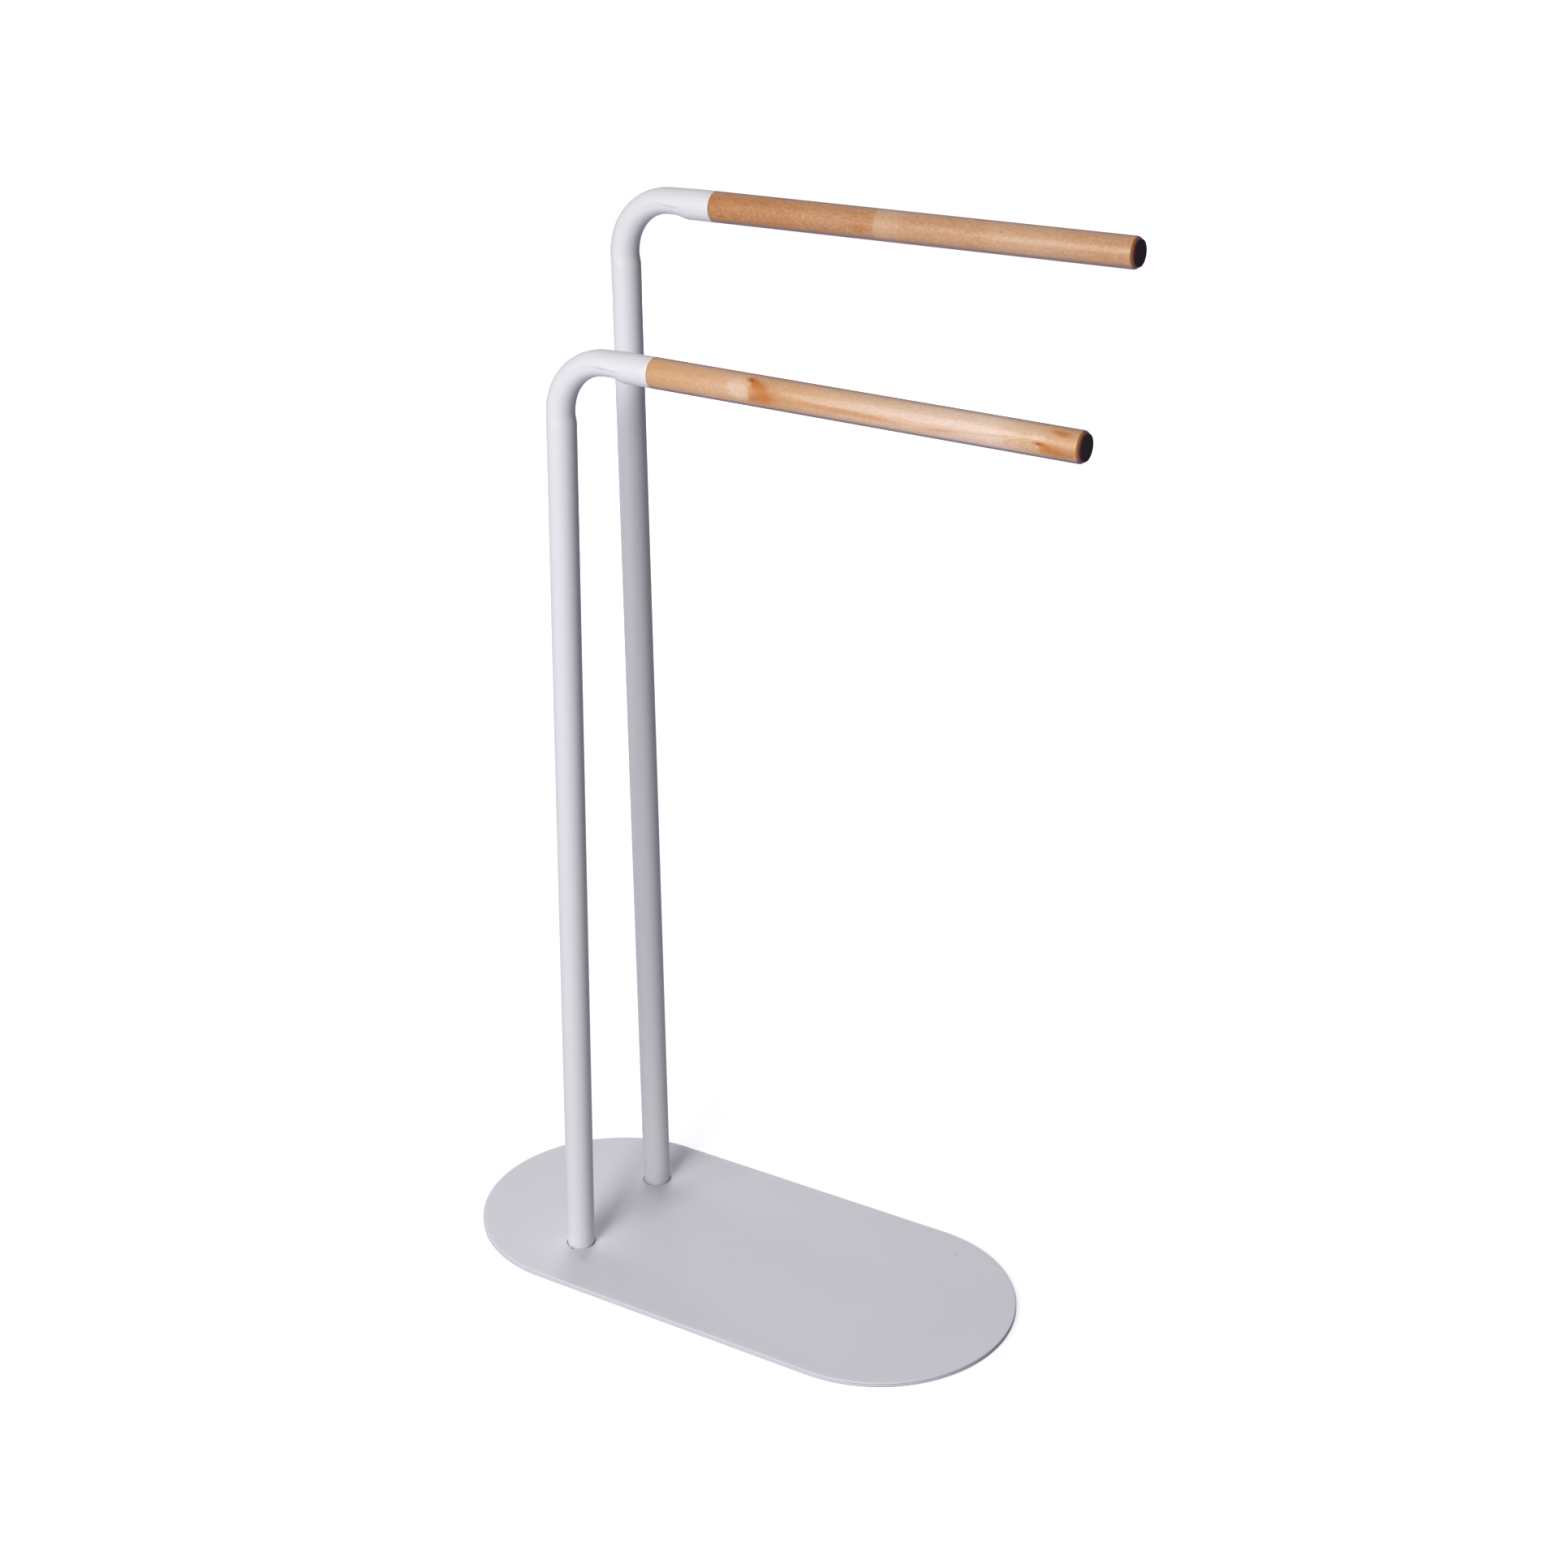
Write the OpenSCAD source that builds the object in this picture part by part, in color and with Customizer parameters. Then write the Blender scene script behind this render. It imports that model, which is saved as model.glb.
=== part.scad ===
// Freestanding towel stand: a flat steel base, two bent steel uprights side by side
// and a round wooden bar on the end of each. Millimetres, +Z up, +X along the bars.
// The origin is on the floor, in the middle of the stand's outline seen from above.

/* [Base plate] */
// Length of the plate, end to end
base_len = 470; // [380:5:600]
// Width of the plate, which is also the width of its round ends
base_w = 218; // [160:2:300]
// Thickness of the plate
base_t = 4; // [3:0.5:6]
// Radius that softens the plate's top and bottom edges
base_edge_r = 0.9; // [0.3:0.1:1.4]

/* [Places of the uprights] */
// Distance from the plate's left end to the uprights' axes
foot_inset = 114; // [60:1:150]
// Distance between the two uprights' axes
foot_pitch = 110; // [60:1:140]
// Depth of the round seat that each foot stands in
seat_depth = 1.2; // [0.8:0.1:1.6]
// Open gap round the foot in its seat
seat_gap = 0.4; // [0.3:0.05:0.8]

/* [Uprights] */
// Outer diameter of the tube
tube_d = 22; // [19:0.5:28]
// Wall of the tube
tube_wall = 1.2; // [1:0.1:2]
// Height of the tall upright's arm axis above the plate
tall_h = 833; // [760:1:950]
// Height of the short upright's arm axis above the plate
short_h = 745; // [600:1:750]
// Distance from the tall upright's axis to the end of its arm
tall_reach = 79; // [74:1:110]
// Distance from the short upright's axis to the end of its arm
short_reach = 80; // [74:1:110]
// Degrees that an arm rises towards its tip, because the bend stops short of square
arm_rise = 1.4; // [0:0.1:3]
// Degrees that the short upright leans towards the bars' tips in its seat
short_lean = 1.4; // [0:0.1:2]

/* [Press bend] */
// Radius of the bend, to the tube's axis
bend_r = 42; // [38:1:44]
// How far the outer side is drawn in by the end of the arc
bend_out_in = 0.7; // [0:0.1:1]
// How far the inner side is pressed flat where the bend leaves the upright
bend_flat_leg = 1; // [0:0.1:1.5]
// How far the inner side is pressed flat where the bend meets the arm
bend_flat_arm = 2.5; // [0:0.1:3]
// How far the die squeezes the inner half of the bend's sides
bend_side_in = 0.7; // [0:0.1:1]
// Length on the upright over which the press begins
bend_run_leg = 9; // [6:1:30]
// Length on the arm over which the full press is held
bend_hold_arm = 4; // [0:1:7]
// Length on the arm over which the inner side then comes out again
bend_release = 14; // [8:1:17]
// Length on the arm after which the tube is round again
bend_run_arm = 22; // [19:1:23]

/* [Crease beside the die] */
// Extra squeeze under the crease on the tall upright's arm
tall_crease_in = 0.4; // [0:0.1:1]
// Extra squeeze under the crease on the short upright's arm
short_crease_in = 0.9; // [0:0.1:1]
// Length of the crease, which starts on the bend
crease_len = 28; // [16:1:32]
// Length at its end over which the crease dies out
crease_fade = 5.5; // [3:0.5:8]
// Distance from the end of the bend's arc to the crease's end
crease_end = 16.5; // [12:0.5:18]

/* [Wooden bars] */
// Length of a bar, from the tube's end to the dark cap
bar_len = 329.4; // [200:0.1:420]
// Length of the chamfer at a bar's tip
tip_chamfer_len = 2; // [0.5:0.1:3]
// Height of the chamfer at a bar's tip
tip_chamfer_in = 1.4; // [0.4:0.1:2]
// Small chamfer where a bar meets its tube
root_chamfer = 0.3; // [0.1:0.1:0.6]

/* [End caps] */
// Diameter of a cap's flat head
cap_d = 19; // [14:0.2:19]
// Thickness of a cap's head
cap_t = 0.6; // [0.4:0.1:2]
// Diameter of the spigot that holds a cap in its bar
cap_spigot_d = 12; // [8:0.5:13]
// Length of the spigot
cap_spigot_len = 9; // [5:0.5:15]

/* [Screws, plugs and studs] */
// Diameter of the base screws and the bars' studs
screw_d = 6; // [5:0.5:8]
// Diameter of a base screw's countersunk head
screw_head_d = 11.2; // [10:0.1:12]
// Length of a base screw over all
screw_len = 16; // [12:1:20]
// Width of the hexagon socket, across its corners
socket_d = 4.6; // [4:0.1:5]
// Depth of the hexagon socket
socket_depth = 1.6; // [1:0.1:1.8]
// Length of the threaded plug in each foot
plug_len = 20; // [16:1:30]
// Length of the threaded insert in each arm's end
insert_len = 13; // [10:1:14]
// Length of a bar's stud inside the wood
stud_wood_len = 34; // [20:1:60]
// Length of a bar's stud inside the threaded insert
stud_metal_len = 11; // [8:1:12]

/* [Anti-slip pads] */
// Diameter of a pad
pad_d = 20; // [12:1:30]
// Thickness of a pad
pad_t = 1; // [1:0.5:4]
// Distance from the plate's edge to a pad's centre
pad_inset = 18; // [16:1:30]

/* [Hidden] */
$fn = 96;

// Colours as the finished pieces show them
paint = "#d6d6de";
birch = "#d2a277";
black_plastic = "#251a26";
zinc = "#b4b6ba";
black_foam = "#2b2b33";

// Clearance of a press-fitted or threaded piece in its hole, on the radius
fit_gap = 0.05;
// Overrun of every cut past the face that it opens
over = 1;
// Chamfer on the ends of turned plugs, inserts and spigots
lead_in = 0.6;
// Clearance below the stud's tip and the cap's spigot
hole_room = 1;
// Length of the point on a stud's wood end
stud_point = 4;
// How far a base screw's head sits inside the plate's underside
head_recess = 0.2;
// Chamfer on the rim of a cap's head
cap_edge = 0.3;
// Radius and height of the small tab that keys a foot into its seat
tab_r = 0.7;
tab_h = 1;
// Rounding where the powder coat turns over a tube's cut end
tube_lip = 0.3;
// Depth and width of the shallow ring pressed into a pad's underside
pad_ring_w = 1;
pad_ring_depth = 0.3;
// The bend's round ends lie this much inside the straight tubes' own surfaces. Each straight
// tube starts one tuck past the pressed stretch, and the bend reaches one more into its wall.
bend_step = 0.1;
bend_tuck = 1;
// Where round the section the die's edge lies along the bend and at the crease's end, and half
// its width along the bend and where the crease is deepest, all as cosines round the section
edge_bend_share = 0.12;
edge_crease_share = -0.08;
edge_half_share = 0.2;
crease_half_share = 0.045;

// Facets round the bend, and steps along its three stretches
bend_sides = 40;
leg_steps = 4;
arc_steps = 14;
arm_steps = 11;

tube_r = tube_d / 2;
bore_r = tube_r - tube_wall;
end_r = base_w / 2;
half_straight = base_len / 2 - end_r;
foot_x = foot_inset - base_len / 2;
seat_r = tube_r + seat_gap;
plate_z = pad_t;
plate_top = plate_z + base_t;
seat_z = plate_top - seat_depth;

// The bend turns the tube by less than a right angle, so that the arm rises
bend_angle = 90 - arm_rise;
bend_tangent = bend_r * tan(bend_angle / 2);
bend_arc = bend_r * bend_angle * PI / 180;

// A leaning foot stands on the edge of its tube, so it is lifted by that edge's drop
lean_lift = tube_r * sin(short_lean);
// Room that the leaning screw's head needs in the countersink
head_room = fit_gap + (screw_head_d / 2 + base_t) * sin(short_lean);

// The stand reaches from the plate's left end to the tip of the bar that reaches furthest
tall_tip = foot_x + (tall_reach + bar_len + cap_t) * cos(arm_rise) + cap_d / 2 * sin(arm_rise);
short_tip = foot_x + (short_h + seat_depth) * sin(short_lean)
    + (short_reach + bar_len + cap_t) * cos(arm_rise - short_lean)
    + cap_d / 2 * abs(sin(arm_rise - short_lean));
frame_x = (max(tall_tip, short_tip) - base_len / 2) / 2;

pad_x = half_straight + (end_r - pad_inset) * cos(45);
pad_y = (end_r - pad_inset) * sin(45);
pad_mid_y = end_r - pad_inset;

function smooth(t) = let (c = min(1, max(0, t))) c * c * (3 - 2 * c);

// Places

// Everything is drawn about the plate's centre and moved once to the stand's own origin
module in_frame() {
    translate([-frame_x, 0, 0]) children();
}

// Puts a piece drawn on the tall foot's axis, with z = 0 at the foot's end, into the stand
module on_tall_foot() {
    in_frame() translate([foot_x, foot_pitch / 2, seat_z]) children();
}

// The same for the short foot, which leans
module on_short_foot() {
    in_frame() translate([foot_x, -foot_pitch / 2, seat_z + lean_lift])
        rotate([0, short_lean, 0]) children();
}

// Puts a piece drawn along +Z from the arm's end onto the arm whose axis is at this height
module on_arm_end(axis_h, reach) {
    translate([0, 0, axis_h + seat_depth]) rotate([0, bend_angle, 0])
        translate([0, 0, reach]) children();
}

// Base plate

// Half of the plate's section: a flat bar with two softened corners
module plate_half_section(half_w) {
    square([half_w - base_edge_r, base_t]);
    translate([0, base_edge_r]) square([half_w, base_t - 2 * base_edge_r]);
    for (y = [base_edge_r, base_t - base_edge_r])
        translate([half_w - base_edge_r, y]) circle(base_edge_r);
}

module plate_body() {
    for (side = [-1, 1])
        translate([side * half_straight, 0, 0]) rotate([0, 0, -side * 90])
            rotate_extrude(angle = 180) plate_half_section(end_r);
    translate([-half_straight, 0, 0]) rotate([90, 0, 90]) linear_extrude(2 * half_straight) {
        plate_half_section(end_r);
        mirror([1, 0]) plate_half_section(end_r);
    }
}

// What one foot needs: the round seat with its nick, the screw's hole and its countersink
module foot_cut() {
    floor_t = base_t - seat_depth;
    head_r = screw_head_d / 2;
    shank_r = screw_d / 2;
    translate([0, 0, floor_t]) cylinder(r = seat_r, h = seat_depth + over);
    translate([0, -tube_r, floor_t]) cylinder(r = tab_r + seat_gap, h = seat_depth + over);
    translate([0, 0, -over]) cylinder(r = shank_r + head_room, h = base_t + 2 * over);
    translate([0, 0, head_recess])
        cylinder(r1 = head_r + head_room, r2 = shank_r + head_room, h = head_r - shank_r);
    translate([0, 0, -over]) cylinder(r = head_r + head_room, h = over + head_recess);
}

module base_plate() {
    color(paint) in_frame() translate([0, 0, plate_z]) difference() {
        plate_body();
        for (side = [-1, 1]) translate([foot_x, side * foot_pitch / 2, 0]) foot_cut();
    }
}

// Uprights

// What the die does at one place: how far the outer side, the inner side and the sides come in,
// and the middle and half width of its edge. past is the length past the leg's top, and run the
// length past the end of the arc.
function die_form(past, run, crease_in) =
    let (
        grown = smooth(past / bend_arc),
        bite = smooth(1 + past / bend_run_leg)
            * (1 - smooth((run - bend_hold_arm) / bend_release)),
        left = 1 - min(1, max(0, run / bend_run_arm)),
        rise = smooth((run - crease_end + crease_len) / (crease_len - crease_fade)),
        deep = rise * (1 - smooth((run - crease_end + crease_fade) / crease_fade))
    ) [
        bend_out_in * grown * left,
        bite * (bend_flat_leg + (bend_flat_arm - bend_flat_leg) * grown),
        bite * bend_side_in + deep * crease_in,
        edge_bend_share + (edge_crease_share - edge_bend_share) * rise,
        edge_half_share + (crease_half_share - edge_half_share) * deep
    ];

// One point of the bend's section. Angle 0 is the outer side of the bend and 180 the inner side.
function section_point(angle, form, r) =
    let (
        c = cos(angle),
        inner = smooth((form[3] + form[4] - c) / (2 * form[4])),
        height = r - (c > 0 ? form[0] : form[1]),
        width = r - form[2] * inner
    ) [height * c, width * sin(angle)];

// One ring of the bend: turn is how far the tube's axis has turned, at is a point on the axis
function bend_ring(at, turn, form, r) = [
    for (i = [0 : bend_sides - 1])
        let (p = section_point(i * 360 / bend_sides, form, r))
            [at[0] - p[0] * cos(turn), p[1], at[1] + p[0] * sin(turn)]
];

// A point on the axis past the end of the arc, this far along the arm
function arm_point(leg_top, run) = [
    bend_r * (1 - cos(bend_angle)) + run * sin(bend_angle),
    leg_top + bend_r * sin(bend_angle) + run * cos(bend_angle)
];

// A station past the leg's top: [point on the axis, turn, what the die does there]
function station(leg_top, past, crease_in) =
    let (
        run = past - bend_arc,
        turn = bend_angle * min(1, max(0, past / bend_arc)),
        at = run > 0 ? arm_point(leg_top, run)
            : [bend_r * (1 - cos(turn)), leg_top + min(0, past) + bend_r * sin(turn)]
    ) [at, turn, die_form(past, run, crease_in)];

// The stations along the bend, from the leg's tuck over the arc to the arm's tuck
function bend_stations(leg_top, crease_in) =
    let (places = concat(
        [-bend_run_leg - 2 * bend_tuck],
        [for (i = [0 : leg_steps - 1]) -bend_run_leg * (1 - i / leg_steps)],
        [for (i = [0 : arc_steps]) bend_arc * i / arc_steps],
        [for (i = [1 : arm_steps]) bend_arc + bend_run_arm * i / arm_steps],
        [bend_arc + bend_run_arm + 2 * bend_tuck]
    )) [for (past = places) station(leg_top, past, crease_in)];

// The hollow pressed bend as one closed surface: outer rings first, then the bore's rings
module pressed_bend(leg_top, crease_in) {
    stations = bend_stations(leg_top, crease_in);
    count = len(stations);
    n = bend_sides;
    outer_r = tube_r - bend_step;
    inner_r = (bore_r + bend_step) / cos(180 / n);
    points = concat(
        [for (s = stations) each bend_ring(s[0], s[1], s[2], outer_r)],
        [for (s = stations) each bend_ring(s[0], s[1], s[2], inner_r)]
    );
    skin = [for (k = [0 : count - 2], i = [0 : n - 1])
        let (a = k * n + i, b = k * n + (i + 1) % n) each [[a, b, a + n], [b, b + n, a + n]]];
    bore = [for (f = skin) [f[0] + count * n, f[2] + count * n, f[1] + count * n]];
    ends = [for (k = [0, count - 1], i = [0 : n - 1])
        let (a = k * n + i, b = k * n + (i + 1) % n, c = a + count * n, d = b + count * n)
            each (k == 0 ? [[a, c, b], [b, c, d]] : [[a, b, c], [b, d, c]])];
    polyhedron(points = points, faces = concat(skin, bore, ends));
}

// A straight stretch of round tube. Where its lower end shows, the outer corner is rounded.
module straight_tube(length, lip) {
    rotate_extrude() difference() {
        translate([bore_r, 0]) square([tube_wall, length]);
        if (lip > 0) difference() {
            translate([tube_r - lip, -over]) square(lip + over);
            translate([tube_r - lip, lip]) circle(lip);
        }
    }
}

// One upright on its own axis: leg, pressed bend, arm, and the tab that keys its foot
module bent_tube(axis_h, reach, crease_in) {
    leg_top = axis_h + seat_depth - bend_tangent;
    straight_tube(leg_top - bend_run_leg - bend_tuck, 0);
    pressed_bend(leg_top, crease_in);
    on_arm_end(axis_h, reach) mirror([0, 0, 1])
        straight_tube(reach - bend_tangent - bend_run_arm - bend_tuck, tube_lip);
    difference() {
        translate([0, -tube_r, 0]) cylinder(r = tab_r, h = tab_h);
        translate([0, 0, -over]) cylinder(r = bore_r + tube_wall / 2, h = tab_h + 2 * over);
    }
}

module tall_upright() {
    color(paint) on_tall_foot() bent_tube(tall_h, tall_reach, tall_crease_in);
}

module short_upright() {
    color(paint) on_short_foot() bent_tube(short_h, short_reach, short_crease_in);
}

// Plugs, inserts, screws and studs

// A turned steel plug with a through bore and a lead-in chamfer on its upper end
module threaded_plug(length) {
    outer = bore_r - fit_gap;
    inner = screw_d / 2 + fit_gap;
    rotate_extrude() polygon([[inner, 0], [outer, 0], [outer, length - lead_in],
        [outer - lead_in, length], [inner, length]]);
}

module tall_foot_plug() {
    color(zinc) on_tall_foot() threaded_plug(plug_len);
}

module short_foot_plug() {
    color(zinc) on_short_foot() threaded_plug(plug_len);
}

module tall_end_insert() {
    color(zinc) on_tall_foot() on_arm_end(tall_h, tall_reach)
        mirror([0, 0, 1]) threaded_plug(insert_len);
}

module short_end_insert() {
    color(zinc) on_short_foot() on_arm_end(short_h, short_reach)
        mirror([0, 0, 1]) threaded_plug(insert_len);
}

// A countersunk screw with a hexagon socket, z = 0 at the face of its head
module countersunk_screw() {
    head_r = screw_head_d / 2;
    shank_r = screw_d / 2;
    difference() {
        rotate_extrude() polygon([[0, 0], [head_r, 0], [shank_r, head_r - shank_r],
            [shank_r, screw_len - lead_in], [shank_r - lead_in, screw_len], [0, screw_len]]);
        translate([0, 0, -over]) cylinder(d = socket_d, h = socket_depth + over, $fn = 6);
    }
}

module tall_base_screw() {
    color(zinc) on_tall_foot() translate([0, 0, seat_depth - base_t + head_recess])
        countersunk_screw();
}

module short_base_screw() {
    color(zinc) on_short_foot()
        translate([0, 0, seat_depth - base_t + head_recess - lean_lift]) countersunk_screw();
}

// A double-ended stud, z = 0 where the wood meets the tube, with its point in the wood
module stud() {
    r = screw_d / 2;
    rotate_extrude() polygon([[0, -stud_metal_len], [r - lead_in, -stud_metal_len],
        [r, lead_in - stud_metal_len], [r, stud_wood_len - stud_point], [0, stud_wood_len]]);
}

module upper_stud() {
    color(zinc) on_tall_foot() on_arm_end(tall_h, tall_reach) stud();
}

module lower_stud() {
    color(zinc) on_short_foot() on_arm_end(short_h, short_reach) stud();
}

// Wooden bars and their caps

// A bar along +Z from the tube's end, bored for its stud and for the cap's spigot
module wooden_bar() {
    tip_r = tube_r - tip_chamfer_in;
    difference() {
        rotate_extrude() polygon([[0, 0], [tube_r - root_chamfer, 0], [tube_r, root_chamfer],
            [tube_r, bar_len - tip_chamfer_len], [tip_r, bar_len], [0, bar_len]]);
        translate([0, 0, -over])
            cylinder(r = screw_d / 2 + fit_gap, h = stud_wood_len + hole_room + over);
        translate([0, 0, bar_len - cap_spigot_len - hole_room])
            cylinder(d = cap_spigot_d + 2 * fit_gap, h = cap_spigot_len + hole_room + over);
    }
}

module upper_bar() {
    color(birch) on_tall_foot() on_arm_end(tall_h, tall_reach) wooden_bar();
}

module lower_bar() {
    color(birch) on_short_foot() on_arm_end(short_h, short_reach) wooden_bar();
}

// A flat dark cap on the end of a bar, drawn from the tube's end like the bar itself
module end_cap() {
    r = cap_d / 2;
    spigot_r = cap_spigot_d / 2;
    translate([0, 0, bar_len]) rotate_extrude() polygon([[0, -cap_spigot_len],
        [spigot_r - lead_in, -cap_spigot_len], [spigot_r, lead_in - cap_spigot_len],
        [spigot_r, 0], [r, 0], [r, cap_t - cap_edge], [r - cap_edge, cap_t], [0, cap_t]]);
}

module upper_end_cap() {
    color(black_plastic) on_tall_foot() on_arm_end(tall_h, tall_reach) end_cap();
}

module lower_end_cap() {
    color(black_plastic) on_short_foot() on_arm_end(short_h, short_reach) end_cap();
}

// Anti-slip pads

// A stick-on foam pad under the plate, with a shallow ring in the face that meets the floor
module foot_pad(x, y) {
    r = pad_d / 2;
    color(black_foam) in_frame() translate([x, y, 0]) difference() {
        cylinder(r = r, h = pad_t);
        translate([0, 0, -over]) difference() {
            cylinder(r = r / 2 + pad_ring_w, h = over + pad_ring_depth);
            cylinder(r = r / 2, h = over + pad_ring_depth);
        }
    }
}

base_plate();
tall_upright();
short_upright();
tall_foot_plug();
short_foot_plug();
tall_base_screw();
short_base_screw();
tall_end_insert();
short_end_insert();
upper_stud();
lower_stud();
upper_bar();
lower_bar();
upper_end_cap();
lower_end_cap();
foot_pad(-pad_x, -pad_y);  // pad_left_front
foot_pad(-pad_x, pad_y);  // pad_left_back
foot_pad(0, -pad_mid_y);  // pad_mid_front
foot_pad(0, pad_mid_y);  // pad_mid_back
foot_pad(pad_x, -pad_y);  // pad_right_front
foot_pad(pad_x, pad_y);  // pad_right_back
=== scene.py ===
# Looks of the freestanding towel stand, in metres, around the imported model
from math import asin, cos, pi, radians, sin, tan

import bmesh
import bpy
import numpy as np
from mathutils import Matrix, Vector


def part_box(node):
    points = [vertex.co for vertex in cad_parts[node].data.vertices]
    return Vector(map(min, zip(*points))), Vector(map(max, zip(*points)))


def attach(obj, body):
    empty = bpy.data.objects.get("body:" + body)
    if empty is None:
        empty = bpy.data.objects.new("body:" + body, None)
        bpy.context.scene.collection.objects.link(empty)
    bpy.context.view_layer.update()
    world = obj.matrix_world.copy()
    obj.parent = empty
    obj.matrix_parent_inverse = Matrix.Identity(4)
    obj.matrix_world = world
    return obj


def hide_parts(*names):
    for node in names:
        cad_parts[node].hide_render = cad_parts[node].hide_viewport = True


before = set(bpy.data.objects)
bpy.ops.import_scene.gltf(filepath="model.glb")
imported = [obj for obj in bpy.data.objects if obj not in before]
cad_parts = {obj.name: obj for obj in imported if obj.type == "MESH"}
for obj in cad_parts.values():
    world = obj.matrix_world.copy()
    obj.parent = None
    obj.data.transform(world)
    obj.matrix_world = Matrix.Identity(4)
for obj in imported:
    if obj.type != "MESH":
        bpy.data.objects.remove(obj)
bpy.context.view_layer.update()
print("frame loaded:", len(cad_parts), "nodes")


# Meshes from rings of points

def smoothStep(t):
    # 0 below 0, 1 above 1, and between them 3t squared less 2t cubed
    t = np.clip(t, 0.0, 1.0)
    return t * t * (3.0 - 2.0 * t)


def placed(points, place):
    # Points turned and moved by a matrix
    return points @ np.array(place.to_3x3()).T + np.array(place.translation)


def ringMesh(name, rings, poles=None, loopRings=False, surfaceMap=None):
    # Joins closed rings of points, each to the next, with quads. Two poles close the first and
    # the last ring with fans, and loopRings joins the last ring to the first. surfaceMap, for a
    # piece with poles, gives each ring's place along the piece and the width of one turn.
    count, around = rings.shape[:2]
    ring = np.arange(count if loopRings else count - 1)[:, None]
    turn = np.arange(around)[None, :]
    here, there = ring * around, ((ring + 1) % count) * around
    nextTurn = (turn + 1) % around
    quads = np.stack([here + turn, here + nextTurn, there + nextTurn, there + turn], -1)
    faces = quads.reshape(-1, 4).tolist()
    points = rings.reshape(-1, 3)
    if poles is not None:
        first, last = len(points), (count - 1) * around
        fan, nextFan = turn[0], nextTurn[0]
        faces += np.stack([0 * fan + first, nextFan, fan], -1).tolist()
        faces += np.stack([0 * fan + first + 1, last + fan, last + nextFan], -1).tolist()
        points = np.vstack([points, poles])
    mesh = bpy.data.meshes.new(name)
    mesh.from_pydata(points.tolist(), [], faces)
    if surfaceMap is not None:
        along, width = surfaceMap
        near, far = along[ring + 0 * turn], along[(ring + 1) % count + 0 * turn]
        step = width / around
        side = (turn + 0 * ring) * step
        corners = np.stack([near, side, near, side + step, far, side + step, far, side], -1)
        fans = [np.tile((along[end], 0.0), 3 * around) for end in (0, -1)]
        layer = mesh.uv_layers.new(name="surfaceMap")
        layer.data.foreach_set("uv", np.concatenate([corners.ravel(), *fans]))
    return mesh


def finishMesh(mesh, sharpAngle):
    # Faces point outwards, and edges sharper than the angle stay sharp
    work = bmesh.new()
    work.from_mesh(mesh)
    bmesh.ops.remove_doubles(work, verts=work.verts, dist=1e-7)
    bmesh.ops.recalc_face_normals(work, faces=work.faces)
    work.to_mesh(mesh)
    work.free()
    mesh.polygons.foreach_set("use_smooth", [True] * len(mesh.polygons))
    mesh.set_sharp_from_angle(angle=radians(sharpAngle))
    return mesh


def softCorners(outline, radius, steps=4):
    # Rounds each inner corner of a profile with an arc that starts and ends this far from it.
    # The arc is the quadratic curve through the corner's two cut points.
    outline = np.asarray(outline, float)
    result = [outline[0]]
    for before, corner, after in zip(outline[:-2], outline[1:-1], outline[2:]):
        reach = min(radius, np.linalg.norm(corner - before) / 2, np.linalg.norm(after - corner) / 2)
        start = corner + (before - corner) / np.linalg.norm(before - corner) * reach
        stop = corner + (after - corner) / np.linalg.norm(after - corner) * reach
        t = np.linspace(0, 1, steps + 1)[:, None]
        result += list((1 - t) ** 2 * start + 2 * t * (1 - t) * corner + t ** 2 * stop)
    return np.array(result + [outline[-1]])


def turnedMesh(name, outline, place, around, sharpAngle, seam=0.0, shape=1.0, width=None):
    # Revolves a profile of (radius, height) about the place's own Z axis and closes both ends on
    # it. shape scales the radii by ring and angle, and width, that of one turn, adds a surface map.
    outline = np.asarray(outline, float)
    angle = seam + np.arange(around) * 2 * pi / around
    radius = outline[:, :1] * np.ones(around) * shape
    rings = np.stack([radius * np.cos(angle), radius * np.sin(angle), outline[:, 1:] + 0 * radius], -1)
    poles = np.array([(0, 0, outline[0, 1]), (0, 0, outline[-1, 1])])
    surfaceMap = (outline[:, 1], width) if width else None
    mesh = ringMesh(name, placed(rings, place), placed(poles, place), surfaceMap=surfaceMap)
    return finishMesh(mesh, sharpAngle)


def addObject(name, data):
    thing = bpy.data.objects.new(name, data)
    bpy.context.scene.collection.objects.link(thing)
    return thing


def addPiece(mesh, material, slotName, *nodes):
    piece = addObject(mesh.name, mesh)
    mesh.materials.clear()
    mesh.materials.append(material)
    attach(piece, "root")
    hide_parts(*nodes)


# The stand's own places, from the frame's boxes and the tube's size

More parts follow.
